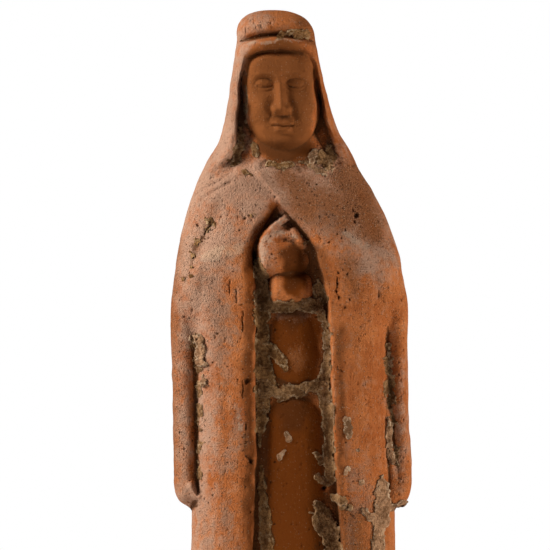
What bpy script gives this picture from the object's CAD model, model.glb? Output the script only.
import math

import bpy
import numpy as np
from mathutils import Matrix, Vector


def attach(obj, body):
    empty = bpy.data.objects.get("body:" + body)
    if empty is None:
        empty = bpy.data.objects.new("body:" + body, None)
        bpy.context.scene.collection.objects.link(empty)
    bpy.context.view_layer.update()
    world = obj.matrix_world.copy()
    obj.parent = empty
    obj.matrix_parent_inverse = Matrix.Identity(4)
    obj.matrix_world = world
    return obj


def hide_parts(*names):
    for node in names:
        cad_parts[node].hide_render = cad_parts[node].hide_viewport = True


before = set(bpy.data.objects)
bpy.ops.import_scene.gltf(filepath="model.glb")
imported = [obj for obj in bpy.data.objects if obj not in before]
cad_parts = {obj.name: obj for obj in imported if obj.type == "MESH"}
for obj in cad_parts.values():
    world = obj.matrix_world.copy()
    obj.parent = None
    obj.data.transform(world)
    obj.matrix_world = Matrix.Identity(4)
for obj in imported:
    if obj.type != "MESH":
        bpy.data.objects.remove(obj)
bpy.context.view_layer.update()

# Camera
# A long lens stands level and square before the chest, as for a catalogue picture, and takes
# in the figure from above the crown to the shins. The figure is measured in shares of its
# own height above the base, 241.3 of them in all.
FIGURE_HEIGHT = 0.241
BASE_HEIGHT = 0.009
HEIGHT_SHARES = 241.3
SHARE = FIGURE_HEIGHT / HEIGHT_SHARES
VIEW_MIDDLE = (-5.2, 157.5)
VIEW_WIDTH = 174.1
CAMERA_DISTANCE = 1.9

camera = bpy.data.objects.new("camera", bpy.data.cameras.new("camera"))
bpy.context.collection.objects.link(camera)
camera.location = (VIEW_MIDDLE[0] * SHARE, -CAMERA_DISTANCE, BASE_HEIGHT + VIEW_MIDDLE[1] * SHARE)
camera.rotation_euler = (math.pi / 2.0, 0.0, 0.0)
camera.data.lens = camera.data.sensor_width * CAMERA_DISTANCE / (VIEW_WIDTH * SHARE)
bpy.context.scene.camera = camera

# Floor and light
# A plain pale table stands under the figure in a white tent. A soft lamp high on the viewer's
# left grazes the carving, a weaker warm one stands level with the chest on the right, and two
# wide white boards behind catch the edges.
FLOOR_RADIUS = 0.9
FLOOR_COLOUR = (0.82, 0.82, 0.81, 1.0)
FLOOR_ROUGHNESS = 0.7
TENT_WHITE = (1.0, 1.0, 1.0, 1.0)
TENT_GLOW = 0.07
TENT_GLOW_COLOUR = (1.0, 0.985, 0.96, 1.0)
KEY_FROM = (-0.83, -0.23, 0.50)
KEY_DISTANCE = 1.1
KEY_SIZE = 0.40
KEY_POWER = 20.0
KEY_COLOUR = (1.0, 0.97, 0.93)
FILL_FROM = (0.97, -0.20, -0.02)
FILL_DISTANCE = 1.0
FILL_SIZE = 0.3
FILL_POWER = 9.6
FILL_COLOUR = (1.0, 0.93, 0.85)
BOARDS_FROM = {"left_board": (-0.9, 0.5, 0.1), "right_board": (0.9, 0.5, 0.1)}
BOARD_DISTANCE = 1.0
BOARD_SIZE = 0.9
BOARD_POWER = 0.3
BOARD_COLOUR = (1.0, 1.0, 1.0)
AIM_HEIGHT = 150.0


class Amount:
    """A number that changes over a surface. Sums and products of it add Math nodes."""

    def __init__(self, nodes, socket):
        self.nodes, self.socket = nodes, socket

    def work(self, operation, first, second):
        return self.nodes.add("Math", {"operation": operation}, {0: first, 1: second})

    def __add__(self, other):
        return self.work("ADD", self, other)

    def __radd__(self, other):
        return self.work("ADD", other, self)

    def __sub__(self, other):
        return self.work("SUBTRACT", self, other)

    def __rsub__(self, other):
        return self.work("SUBTRACT", other, self)

    def __mul__(self, other):
        return self.work("MULTIPLY", self, other)

    def __rmul__(self, other):
        return self.work("MULTIPLY", other, self)


class Nodes:
    """The nodes of one finish, or of the light around the figure."""

    def __init__(self, tree):
        tree.nodes.clear()
        self.tree = tree

    def add(self, kind, settings, values, output=0):
        """One node. Its settings are made first, then the values or links of its sockets."""
        node = self.tree.nodes.new("ShaderNode" + kind)
        for name, value in settings.items():
            setattr(node, name, value)
        for socket, value in values.items():
            if isinstance(value, Amount):
                self.tree.links.new(value.socket, node.inputs[socket])
            else:
                node.inputs[socket].default_value = value
        return Amount(self, node.outputs[output]) if node.outputs else node


def glow_all_round():
    """White tent: full white to the camera, dimmer as light on the clay."""
    world = bpy.data.worlds.new("tent")
    bpy.context.scene.world = world
    world.use_nodes = True
    nodes = Nodes(world.node_tree)
    seen = nodes.add("LightPath", {}, {}, "Is Camera Ray")
    backdrop = nodes.add("Background", {}, {"Color": TENT_WHITE, "Strength": 1.0})
    glow = nodes.add("Background", {}, {"Color": TENT_GLOW_COLOUR, "Strength": TENT_GLOW})
    both = nodes.add("MixShader", {}, {0: seen, 1: glow, 2: backdrop})
    nodes.add("OutputWorld", {}, {"Surface": both})


def lamp(name, direction, distance, size, power, colour):
    """Soft square lamp, aimed at the chest."""
    light = bpy.data.objects.new(name, bpy.data.lights.new(name, "AREA"))
    bpy.context.collection.objects.link(light)
    chest = Vector((0.0, 0.0, BASE_HEIGHT + AIM_HEIGHT * SHARE))
    way = Vector(direction).normalized()
    light.location = chest + way * distance
    light.rotation_euler = way.to_track_quat("Z", "Y").to_euler()
    light.data.size = size
    light.data.energy = power
    light.data.color = colour


glow_all_round()
bpy.context.scene.view_settings.view_transform = "Standard"
lamp("key_lamp", KEY_FROM, KEY_DISTANCE, KEY_SIZE, KEY_POWER, KEY_COLOUR)
lamp("fill_lamp", FILL_FROM, FILL_DISTANCE, FILL_SIZE, FILL_POWER, FILL_COLOUR)
for board, direction in BOARDS_FROM.items():
    lamp(board, direction, BOARD_DISTANCE, BOARD_SIZE, BOARD_POWER, BOARD_COLOUR)

bpy.ops.mesh.primitive_circle_add(vertices=96, radius=FLOOR_RADIUS, fill_type="NGON")
floor = bpy.context.object
floor.name = "floor"
table_top = bpy.data.materials.new("pale_table")
table_top.use_nodes = True
table_nodes = Nodes(table_top.node_tree)
table_look = {"Base Color": FLOOR_COLOUR, "Roughness": FLOOR_ROUGHNESS}
table_finish = table_nodes.add("BsdfPrincipled", {}, table_look)
table_nodes.add("OutputMaterial", {}, {"Surface": table_finish})
floor.data.materials.append(table_top)

# Body
# The figure is one piece of red clay, pressed in a mould, fired, and buried for centuries.
# This is its plain mass under the carving: the edges seen from the front, the depth before
# and behind the middle plane, and the two empty sleeves that hang at its sides.
LEFT_EDGE = [(0, -29.5), (4, -30.0), (7, -33.9), (45, -32.8), (79, -31.6), (118, -31.9), (136, -33.1),
             (150, -35.3), (160, -36.4), (172, -34.5), (185, -30.6), (193, -27.0), (200, -22.9),
             (207, -21.0), (219, -19.1), (229, -17.6), (232, -17.2)]
RIGHT_EDGE = [(0, 30.5), (4, 31.0), (7, 34.9), (45, 33.6), (79, 32.7), (93, 32.6), (118, 31.3), (136, 31.7),
              (150, 34.1), (160, 34.5), (172, 31.3), (185, 25.2), (191, 21.3), (197, 18.4), (203, 14.8),
              (214, 11.3), (224, 9.0), (232, 7.5)]
FRONT_DEPTH = [(0, 18.5), (4, 18.8), (7, 21.2), (45, 20.2), (90, 19.6), (125, 20.0), (152, 19.6),
               (175, 17.4), (187, 15.2), (196, 15.2), (212, 15.8), (232, 13.6)]
BACK_DEPTH = [(0, 15.5), (4, 16.0), (7, 18.6), (50, 17.4), (100, 16.8), (150, 18.2), (178, 17.2),
              (192, 14.6), (210, 15.6), (224, 15.2), (232, 13.8)]
ROUNDNESS = [(0, 2.7), (80, 2.7), (150, 2.6), (185, 2.4), (200, 2.7), (212, 3.1), (226, 3.1), (232, 2.6)]
CROWN_BASE = 232.0
CROWN_ROUNDNESS = 2.45
CROWN_LEAN = 0.12
SLEEVE_STANDOUT = [(83, 0), (84.5, 1.3), (86.3, 3.9), (89.4, 5.1), (93, 5.5), (118, 5.6), (136, 5.0),
                   (150, 2.5), (160, 0.2), (164, 0)]
SLEEVE_RADIUS = 4.9
SLEEVE_FRONT = 10.5
SLEEVE_BACK = 9.0
SLEEVE_TOP = 164.0
SLEEVE_END = 83.5
ELBOW_HEIGHT = 156.0
ELBOW_SWELL = 2.5


def blend(start, end, value):
    """Ease from 0 at start to 1 at end."""
    ease = np.clip((value - start) / (end - start), 0.0, 1.0)
    return ease * ease * (3.0 - 2.0 * ease)


def bump(offset, width):
    """Rounded swelling, 1 at its middle."""
    return np.exp(-(offset / width) ** 2)


def soft_least(first, second, radius):
    """The lesser of two distances, with the corner rounded."""
    near = np.clip(0.5 + 0.5 * (second - first) / radius, 0.0, 1.0)
    return second + (first - second) * near - radius * near * (1.0 - near)


def soft_most(first, second, radius):
    """The greater of two heights, with the crease rounded."""
    return -soft_least(-first, -second, radius)


def curve(stations, at):
    """Smooth curve through (position, value) stations that never overshoots them."""
    places, values = np.array(stations, dtype=float).T
    slopes = np.diff(values) / np.diff(places)
    tangents = np.concatenate([slopes[:1], np.zeros(len(slopes) - 1), slopes[-1:]])
    before, after = slopes[:-1], slopes[1:]
    same_way = before * after > 0
    sums = np.where(same_way, before + after, 1.0)
    tangents[1:-1] = np.where(same_way, 2.0 * before * after / sums, 0.0)
    at = np.clip(at, places[0], places[-1])
    index = np.clip(np.searchsorted(places, at, side="right") - 1, 0, len(slopes) - 1)
    span = places[index + 1] - places[index]
    part = (at - places[index]) / span
    start_share = (1.0 + 2.0 * part) * (1.0 - part) ** 2
    end_share = part ** 2 * (3.0 - 2.0 * part)
    start_pull = part * (1.0 - part) ** 2 * span * tangents[index]
    end_pull = part ** 2 * (part - 1.0) * span * tangents[index + 1]
    return start_share * values[index] + end_share * values[index + 1] + start_pull + end_pull


def crown_shrink(height):
    """Narrowing of the section over the crown, 1 below it and 0 at its top."""
    rise = np.clip((height - CROWN_BASE) / (HEIGHT_SHARES - CROWN_BASE), 0.0, 1.0)
    return (1.0 - rise ** CROWN_ROUNDNESS) ** (1.0 / CROWN_ROUNDNESS)


def body_span(height):
    """Middle and half width of the body without its sleeves."""
    left, right = curve(LEFT_EDGE, height), curve(RIGHT_EDGE, height)
    middle = (left + right) / 2.0 - CROWN_LEAN * np.maximum(height - CROWN_BASE, 0.0)
    return middle, crown_shrink(height) * (right - left) / 2.0


def plain_depth(across, height, depths, sleeve_depth):
    """Depth of the plain body and sleeves, and how far the surface faces front or back."""
    middle, half = body_span(height)
    power = curve(ROUNDNESS, height)
    reach = np.clip(np.abs(across - middle) / np.maximum(half, 1e-6), 0.0, 1.0)
    body = crown_shrink(height) * curve(depths, height) * (1.0 - reach ** power) ** (1.0 / power)
    sleeve_middle = half + curve(SLEEVE_STANDOUT, height) - SLEEVE_RADIUS
    sleeve_reach = np.clip(np.abs(np.abs(across - middle) - sleeve_middle) / SLEEVE_RADIUS, 0.0, 1.0)
    full = sleeve_depth * blend(SLEEVE_TOP + 12.0, SLEEVE_TOP - 4.0, height)
    full = full + ELBOW_SWELL * bump(height - ELBOW_HEIGHT, 13.0)
    rounding = np.clip((height - SLEEVE_END) / SLEEVE_RADIUS, 0.0, 1.0)
    tube = 0.54 * (1.0 - sleeve_reach ** 8) ** 0.125 + 0.46 * (1.0 - sleeve_reach ** 2) ** 0.5
    sleeve = full * (1.0 - (1.0 - rounding) ** 2) ** 0.5 * tube
    crease = np.minimum(0.8 + 5.0 * blend(130.0, 152.0, height), sleeve)
    depth = np.where(sleeve > 0.0, soft_most(body, sleeve, np.maximum(crease, 0.01)), body)
    return depth, np.clip(depth / curve(depths, height), 0.0, 1.0)


# Hood
# A cloth hood, carved in the same clay, domes over the head, turns back in a soft roll round
# the face and falls on the shoulders. A pressed seam parts its crown from the roll, and its
# left edge ends in a small lip over the shoulder.
SEAM_HEIGHT = 232.8
SEAM_MIDDLE = -5.0
SEAM_SAG = 0.0125
SEAM_DEPTH = 1.9
CROWN_RISE = 1.7
OPENING_LEFT = [(190, -24.0), (192.6, -20.8), (195, -18.9), (200, -17.5), (210, -16.7), (219, -16.0),
                (225, -15.2), (230, -14.6)]
OPENING_RIGHT = [(190, 18.2), (194, 16.0), (200, 13.4), (207, 11.0), (213, 9.6), (219, 8.5),
                 (225, 7.6), (230, 7.0)]
OPENING_TOP = 228.6
OPENING_TOP_MIDDLE = -3.9
OPENING_TOP_SAG = 0.006
OPENING_CORNER = 6.0
COLLAR_HEIGHT = 192.6
HOOD_ROLL = 1.9
HEM_RISE_LEFT = 1.1
HEM_RISE_RIGHT = 0.9
HOOD_GAP_DEPTH = 6.2
HOOD_GAP_RISE = 4.6
HOOD_HEM_LEFT = (-18.8, 194.6)
HOOD_HEM_RIGHT = (15.6, 194.4)


def face_opening(across, height):
    """Distance inside the edge of the hood opening."""
    sides = soft_least(across - curve(OPENING_LEFT, height), curve(OPENING_RIGHT, height) - across, 1.0)
    top = OPENING_TOP - OPENING_TOP_SAG * (across - OPENING_TOP_MIDDLE) ** 2 - height
    return soft_least(soft_least(sides, top, OPENING_CORNER), height - COLLAR_HEIGHT, 1.5)


def hood_relief(across, height):
    """Crown seam, rolled edge round the face and the hem lying on the shoulders."""
    seam = height - SEAM_HEIGHT + SEAM_SAG * (across - SEAM_MIDDLE) ** 2
    relief = -SEAM_DEPTH * bump(seam, 0.85) + CROWN_RISE * blend(-0.5, 4.5, seam)
    relief -= 0.6 * blend(5.0, 9.0, seam)
    relief += 0.5 * bump(seam + 1.5, 0.8)
    edge = face_opening(across, height)
    on_hood = blend(COLLAR_HEIGHT - 2.0, COLLAR_HEIGHT + 4.0, height) * blend(0.2, -1.2, seam)
    relief += on_hood * (1.3 * bump(edge + HOOD_ROLL, HOOD_ROLL) - 0.3 * bump(edge + 2.4 * HOOD_ROLL, 0.9))
    left_hem = height - HOOD_HEM_LEFT[1] - 0.62 * (across - HOOD_HEM_LEFT[0])
    left_layer = blend(-1.3, 1.0, left_hem) * blend(9.0, 3.0, left_hem)
    relief += HEM_RISE_LEFT * left_layer * blend(-32.0, -25.0, across) * blend(-17.0, -19.0, across)
    right_hem = height - HOOD_HEM_RIGHT[1] + 0.75 * (across - HOOD_HEM_RIGHT[0])
    right_layer = blend(-0.9, 0.9, right_hem) * blend(9.0, 3.0, right_hem)
    relief += HEM_RISE_RIGHT * right_layer * blend(26.0, 20.0, across) * blend(14.5, 16.0, across)
    return relief


# Head
# The head stands back inside the hood on a broad neck, and leans a little to one side. Its
# face is even and calm, laid out in thirds and fifths, and softened by the mould and by wear.
FACE_MIDDLE = -3.3
FACE_LEVEL = 213.0
FACE_LEAN = 0.064
FACE_TOP = 232.0
CHIN = 196.5
FACE_HALF_WIDTH = 12.1
FACE_THIRD = (FACE_TOP - CHIN) / 3.0
BROW = CHIN + 2.0 * FACE_THIRD
NOSE_BASE = CHIN + FACE_THIRD
MOUTH = CHIN + 2.0 * FACE_THIRD / 3.0
HOOD_THICKNESS = 3.0
EYE_LINE = (HEIGHT_SHARES - HOOD_THICKNESS + CHIN) / 2.0
EYE_WIDTH = 2.0 * FACE_HALF_WIDTH / 5.0
NOSE_RISE = [
    (-0.9, 0.0), (0.2, 2.5), (1.6, 3.9), (3.4, 3.2), (6.5, 2.0), (9.5, 1.0), (12.0, 0.3), (14.0, 0.0)
]
NOSE_WIDTH = [(0.0, 1.8), (1.6, 1.9), (3.6, 1.5), (7.0, 1.25), (11.0, 1.6)]
FACE_DEPTH = [(194, 10.5), (197, 13.0), (199.5, 14.5), (204, 14.6), (210, 14.8), (216, 14.6), (221, 14.9),
              (226, 14.4), (232, 12.5)]
NECK_HALF_WIDTH = [(188, 16.6), (191, 16.2), (193, 15.2), (195.5, 13.6), (198.6, 11.6), (202, 10.2),
                   (208, 9.4)]
NECK_TOP = 208.0
NECK_DEPTH = 13.2
JAW_HEIGHT = 16.0


def mound(across, up):
    """Low oval swelling of unit half width and half height."""
    return np.clip(1.0 - across ** 2 - up ** 2, 0.0, 1.0)


def face_features(side, height):
    """Calm, even features; side is the distance from the middle of the face."""
    reach = np.abs(side)
    eye = reach - EYE_WIDTH
    eye_up = height - EYE_LINE + 0.2
    above_nose = height - NOSE_BASE
    above_mouth = height - MOUTH
    brow = 0.7 * bump(height - BROW - 0.5 + 0.04 * eye ** 2, 1.2) * blend(9.2, 6.2, reach)
    socket = 1.8 * bump(eye + 0.4, 3.2) * bump(height - EYE_LINE, 2.6)
    lid = 1.5 * mound(eye / (0.62 * EYE_WIDTH), eye_up / 2.1)
    lid_line = 0.55 * bump(eye_up + 0.8 - 0.10 * eye ** 2, 0.38) * blend(2.9, 2.1, np.abs(eye))
    nose = curve(NOSE_RISE, above_nose) * np.exp(-(reach / curve(NOSE_WIDTH, above_nose)) ** 2.0)
    wings = 1.6 * bump(reach - 2.1, 0.9) * bump(above_nose - 1.1, 1.1)
    cheek = 1.2 * bump(reach - 6.2, 3.0) * bump(above_nose - 2.0, 4.2)
    cheek_fold = 0.5 * bump(reach - 3.6 - 0.25 * (NOSE_BASE - height), 0.9) * bump(above_nose + 0.8, 2.0)
    mouth_swell = 1.1 * bump(side, 4.6) * bump(above_mouth, 3.5)
    lip_groove = 0.25 * bump(side, 0.7) * bump(above_mouth - 2.5, 1.1)
    lip_line = above_mouth + 0.25 * bump(side, 0.9) - 0.010 * side ** 2
    upper_lip = 0.85 * bump(lip_line - 0.85, 0.75) * blend(3.9, 1.6, reach)
    lower_lip = 0.95 * bump(lip_line + 1.05, 0.9) * blend(3.3, 1.2, reach)
    parting = 0.65 * bump(lip_line, 0.42) * blend(3.9, 2.4, reach)
    under_lip = 0.55 * bump(side, 3.2) * bump(above_mouth + 3.0, 1.0)
    chin = 1.1 * bump(side, 3.2) * bump(height - CHIN - 3.0, 2.2)
    relief = brow - socket + lid - lid_line + nose + wings + cheek - cheek_fold + mouth_swell - lip_groove
    return relief + upper_lip + lower_lip - parting - under_lip + chin


def head(across, height):
    """Face and neck inside the hood, as depth in front of the middle plane."""
    side = across - FACE_MIDDLE - FACE_LEAN * (FACE_LEVEL - height)
    jaw = np.clip((height - CHIN) / JAW_HEIGHT, 0.0, 1.0)
    half_width = FACE_HALF_WIDTH * (1.0 - (1.0 - jaw) ** 2.2) ** 0.5
    reach = np.clip(np.abs(side) / np.maximum(half_width, 0.01), 0.0, 1.0)
    gap = HOOD_GAP_DEPTH + HOOD_GAP_RISE * blend(213.0, 192.0, height)
    skin = gap + (curve(FACE_DEPTH, height) - gap) * (1.0 - reach ** 3.4) ** 0.5
    skin = np.where(height > CHIN, skin + face_features(side, height) * blend(1.0, 0.72, reach), gap)
    neck_reach = np.clip(np.abs(side) / curve(NECK_HALF_WIDTH, height), 0.0, 1.0)
    neck_front = NECK_DEPTH + 1.4 * blend(200.0, 192.0, height)
    neck_rise = (neck_front - gap) * blend(NECK_TOP, NECK_TOP - 6.0, height)
    neck = gap - 0.5 + neck_rise * (1.0 - neck_reach ** 2.2) ** 0.6
    return soft_most(skin, neck, 1.0)


# Cloak
# The long cloak hangs over the bent arms and closes at the chest, where its right front laps
# over the left. Below the lap its edges part in an inverted V and fall straight, with a
# pressed border along each, and its empty sleeves hang at the sides behind deep folds.
CLOAK_LEFT = [(67.3, -12.6), (98.9, -11.3), (136.9, -11.3), (150, -11.2), (158.6, -11.7), (163.5, -12.3),
              (169.3, -10.6), (172.7, -8.4), (176.5, -6.3), (180.5, -4.6)]
CLOAK_RIGHT = [(0, 18.8), (70, 15.7), (118, 12.8), (149.5, 11.4), (156, 10.0), (163.5, 8.0), (169.7, 4.6),
               (176.5, -0.9), (180.5, -4.2)]
CLOAK_APEX = 180.5
BORDER_WIDTH = 3.2
LEFT_EDGE_ROLL = 2.6
RIGHT_EDGE_ROLL = 0.7
CHEST_SEAM = [(-12.5, 191.3), (-9.3, 187.5), (-4.1, 181.2)]
LEFT_ELBOW, LEFT_WRIST = (-31.5, 158.4), (-11.8, 166.7)
RIGHT_ELBOW, RIGHT_WRIST = (30.6, 158.4), (8.4, 169.8)
ARM_RISE = 3.3
LEFT_FOLD = -28.1
RIGHT_FOLD = [(86.3, 33.1), (94.2, 32.8), (105.3, 31.7), (117.9, 30.7), (135.3, 29.8), (149.6, 29.3)]
SLEEVE_ROUND = 4.3
BACK_FOLD = 30.0
SLEEVE_LIP = [(-31.5, 91.0), (-29.6, 87.8)]
SHOULDER_HOLLOW = [(-21.3, 180.0), (-25.4, 172.4), (-28.9, 167.0), (-31.5, 161.6)]
SHOULDER_CREASES = [[(-28.0, 184.4), (-22.9, 187.2), (-17.9, 190.1)],
                    [(-28.0, 181.5), (-23.9, 184.1), (-19.4, 186.3)],
                    [(-25.1, 188.2), (-18.8, 191.0)]]
LIP_RISE = 2.4
HOLLOW_DEPTH = 0.9
CREASE_DEPTH = 0.8
FAR_AWAY = 1e6


def beside_line(across, height, start, end):
    """How far along a straight line each place lies, from 0 to 1, and how far beside it."""
    run, rise = end[0] - start[0], end[1] - start[1]
    share = ((across - start[0]) * run + (height - start[1]) * rise) / max(run * run + rise * rise, 1e-9)
    share = np.clip(share, 0.0, 1.0)
    return share, np.hypot(across - start[0] - share * run, height - start[1] - share * rise)


def away_from(across, height, path):
    """Distance of each place from a line drawn through points."""
    nearest = np.full(np.broadcast(across, height).shape, FAR_AWAY)
    for start, end in zip(path, path[1:]):
        nearest = np.minimum(nearest, beside_line(across, height, start, end)[1])
    return nearest


def cloak_opening(across, height):
    """Distance inside the front edges of the cloak."""
    sides = soft_least(across - curve(CLOAK_LEFT, height), curve(CLOAK_RIGHT, height) - across, 0.6)
    return np.minimum(sides, (CLOAK_APEX - height) * 0.5)


def arm_relief(across, height, elbow, wrist):
    """Bent forearm under the cloak, which hangs from it."""
    share = np.clip((across - elbow[0]) / (wrist[0] - elbow[0]), 0.0, 1.0)
    above = height - (elbow[1] + (wrist[1] - elbow[1]) * share)
    swell = np.where(above > 0.0, bump(above, 6.0), 0.75 * bump(above, 15.0) + 0.25 * bump(above, 4.0))
    outside = np.abs(across - (elbow[0] + wrist[0]) / 2.0) - abs(wrist[0] - elbow[0]) / 2.0
    return ARM_RISE * (1.0 - 0.4 * share) * swell * blend(5.0, -3.0, outside)


def sleeve_fold(beyond, height, depth, lower_end, start, middle):
    """Fold between the body's soft edge, from start on, and the round sleeve with its own middle."""
    open_end = blend(SLEEVE_END + 1.0, lower_end, height)
    deep = blend(145.0, 130.0, height) * open_end
    faint = blend(150.0, 138.0, height) * open_end
    wall = depth * blend(start, start + 3.1, beyond)
    inward = np.clip(middle - beyond, 0.0, 0.97 * SLEEVE_ROUND)
    tube = SLEEVE_ROUND - (SLEEVE_ROUND ** 2 - inward ** 2) ** 0.5
    hollow = 1.3 * faint * (1.0 - 0.6 * deep) * bump(beyond - 2.0, 2.6)
    return -deep * soft_least(wall, tube, 0.5) - hollow


def cloak_relief(across, height):
    """Lap at the chest, forearms, borders and falling folds."""
    lap = across - curve([(h, x) for x, h in reversed(CHEST_SEAM)], height)
    on_chest = blend(CLOAK_APEX - 4.0, CLOAK_APEX + 2.0, height)
    on_chest = on_chest * blend(COLLAR_HEIGHT + 1.0, COLLAR_HEIGHT - 3.0, height)
    relief = on_chest * (0.8 * blend(-1.5, 0.7, lap) * blend(12.0, 1.0, lap) + 0.4 * bump(lap - 0.8, 1.0))
    relief += arm_relief(across, height, LEFT_ELBOW, LEFT_WRIST)
    relief += arm_relief(across, height, RIGHT_ELBOW, RIGHT_WRIST)
    beyond = LEFT_FOLD - across
    relief += sleeve_fold(beyond, height, depth=4.4, lower_end=SLEEVE_END + 8.0, start=0.3, middle=4.4)
    beyond = across - curve(RIGHT_FOLD, height)
    relief += sleeve_fold(beyond, height, depth=3.2, lower_end=SLEEVE_END + 32.0, start=-1.6, middle=4.6)
    relief += LIP_RISE * bump(away_from(across, height, SLEEVE_LIP), 1.2)
    relief -= HOLLOW_DEPTH * bump(away_from(across, height, SHOULDER_HOLLOW), 2.6)
    for crease in SHOULDER_CREASES:
        relief -= CREASE_DEPTH * bump(away_from(across, height, crease), 0.85)
    inside = cloak_opening(across, height)
    falling = blend(150.0, 118.0, height)
    relief += 0.45 * falling * bump(np.abs(across) - 20.0, 6.0)
    on_left = blend(0.6, -0.6, across - (curve(CLOAK_LEFT, height) + curve(CLOAK_RIGHT, height)) / 2.0)
    below_lap = blend(CLOAK_APEX + 1.0, CLOAK_APEX - 4.0, height)
    turned = 0.6 * np.clip((inside + 3.3) / 3.5, 0.0, 1.0) + 0.4 * blend(-3.6, 0.4, inside)
    relief -= below_lap * on_left * LEFT_EDGE_ROLL * turned
    soft_roll = RIGHT_EDGE_ROLL * blend(-1.3, 0.3, inside)
    soft_roll = soft_roll + 1.1 * blend(148.0, 156.0, height) * blend(-3.0, 0.4, inside)
    relief -= below_lap * (1.0 - on_left) * soft_roll
    straight = blend(140.0, 112.0, height)
    relief -= straight * (0.4 * on_left + 0.35) * bump(inside + BORDER_WIDTH, 0.9)
    return relief


# Hands
# Two closed hands, one above the other, are held before the body under the lap of the cloak.
# They are plain rounded lumps of the same clay, and a thin cuff runs from the upper one to
# the cloak's edge, with a small dark hollow under it.
UPPER_HAND = (-2.7, 164.4)
UPPER_HAND_HALF = (8.6, 7.9)
UPPER_HAND_RISE = 10.0
UPPER_HAND_TURN = -0.27
LOWER_HAND = (-0.3, 153.5)
LOWER_HAND_HALF = (6.9, 5.5)
LOWER_HAND_RISE = 8.2
LOWER_HAND_TURN = -0.20
CUFF = [(-9.6, 166.3), (-8.0, 169.5), (-5.5, 172.0), (-2.7, 174.3), (-0.4, 176.2)]
CUFF_SHEET = [(-8.0, 167.9), (-5.2, 170.5), (-2.0, 171.1), (1.8, 170.1), (3.4, 168.6)]
CUFF_LENGTH = 9.5
CUFF_RISE = 8.9
SHEET_RISE = 9.1
LUMP_RISE = 6.8
CUFF_HOLLOW = (-1.6, 172.5)
CUFF_HOLLOW_DEPTH = 3.6
FIST_CREST = 0.55
FIST_LEFT_PART = 0.45
FIST_RIGHT_PART = 1.55
LAP_LUMP = [(0.8, 174.6), (1.8, 172.4), (3.0, 170.1)]


def rounded(inside, radius):
    """Height of a rounded form, 0 at its outline and 1 once that far inside."""
    rise = np.clip(inside / radius, 0.0, 1.0)
    return (1.0 - (1.0 - rise) ** 2) ** 0.5


def between(across, height, left, right):
    """Distance inside two edges given up the height, less than 0 above and below them."""
    ends = np.minimum(height - left[0][0], left[-1][0] - height)
    sides = np.minimum(across - curve(left, height), curve(right, height) - across)
    return np.minimum(sides, ends * 1.6)


def fist(across, height, middle, half):
    """Rounded block of a closed hand, squarer on the viewer's right."""
    side, up = (across - middle[0]) / half[0], (height - middle[1]) / half[1]
    power = 2.1 + 0.7 * blend(-0.2, 0.6, side)
    past_crest = side + FIST_CREST
    side = np.where(past_crest < 0.0, past_crest / FIST_LEFT_PART, past_crest / FIST_RIGHT_PART)
    reach = np.clip((np.abs(side) ** power + np.abs(up) ** power) ** (1.0 / power), 0.0, 1.0)
    return (1.0 - reach ** (2.3 + 0.6 * blend(0.3, 0.9, side))) ** 0.5


def hands(across, height):
    """Rise of both hands and the cuff over the recess between the cloak's edges."""
    near = flat_places(across, height, 0.5)
    upper = fist(across, height, UPPER_HAND, UPPER_HAND_HALF)
    turned = UPPER_HAND_TURN * (across - UPPER_HAND[0])
    rough = grains(near, (0.22, 2.4, 26), (0.10, 0.9, 31))
    upper = upper * (UPPER_HAND_RISE + turned + 0.4 * grain(near, 4.5, 25) + rough)
    lower = fist(across, height, LOWER_HAND, LOWER_HAND_HALF)
    turned = LOWER_HAND_TURN * (across - LOWER_HAND[0])
    lower = lower * (LOWER_HAND_RISE + turned + 0.5 * grain(near, 4.0, 27) + rough)
    away = away_from(across, height, CUFF) + 0.4 * grain(near, 1.2, 28)
    along = np.clip(across - CUFF[0][0], 0.0, CUFF_LENGTH)
    cuff = (CUFF_RISE - 0.22 * along) * blend(3.4 - 0.16 * along, 0.5, away)
    cuff = cuff * (1.0 + 0.06 * grain(near, 1.0, 30))
    sheet = SHEET_RISE * blend(5.0, 1.2, away_from(across, height, CUFF_SHEET))
    sheet = sheet * (1.0 + 0.05 * grain(near, 1.1, 63))
    lump = LUMP_RISE * blend(2.6, 0.4, away_from(across, height, LAP_LUMP) + 0.5 * grain(near, 1.2, 29))
    hollow = CUFF_HOLLOW_DEPTH * bump(np.hypot((across - CUFF_HOLLOW[0]) * 0.7, height - CUFF_HOLLOW[1]), 1.7)
    join = soft_most(np.maximum(cuff, lump), sheet, 2.4) - hollow
    together = soft_most(upper, lower, 3.0 + 2.6 * blend(-5.0, 1.0, across))
    return soft_most(together, join, 2.6)


# Dress
# Between the cloak's edges the plain gown swells over the belly, is tucked in under it and
# falls in one smooth panel to the hem, with the tips of two shoes on the base.
RECESS = 6.4
HANDS_RECESS = 1.6
BANK_RISE = 4.4
BELLY_LEFT = [(122.3, 0.2), (123.3, -2.3), (125.2, -4.9), (128, -6.5), (132.2, -7.2), (138.5, -7.4),
              (142.6, -6.8), (144.8, -5.2), (146.1, -1.7)]
BELLY_RIGHT = [(122.3, 2.1), (123.3, 4.3), (125.2, 6.5), (128.7, 8.7), (133.7, 9.4), (140.1, 8.4),
               (143.9, 6.8), (145.5, 4.9), (146.1, 2.7)]
BELLY_RISE = 2.9
SKIRT_MIDDLE = 1.1
SKIRT_RISE = 3.0
SKIRT_HALF_WIDTH = 9.0
SKIRT_TOP = 119.8
SHOE_SPACING = 6.0
SHOE_MIDDLE = 2.0
SHOE_HALF_WIDTH = 5.4
SHOE_HEIGHT = 6.0
SHOE_REACH = 24.0
FOOT_DEPTH = 15.5
HEM_HEIGHT = 7.0


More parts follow.
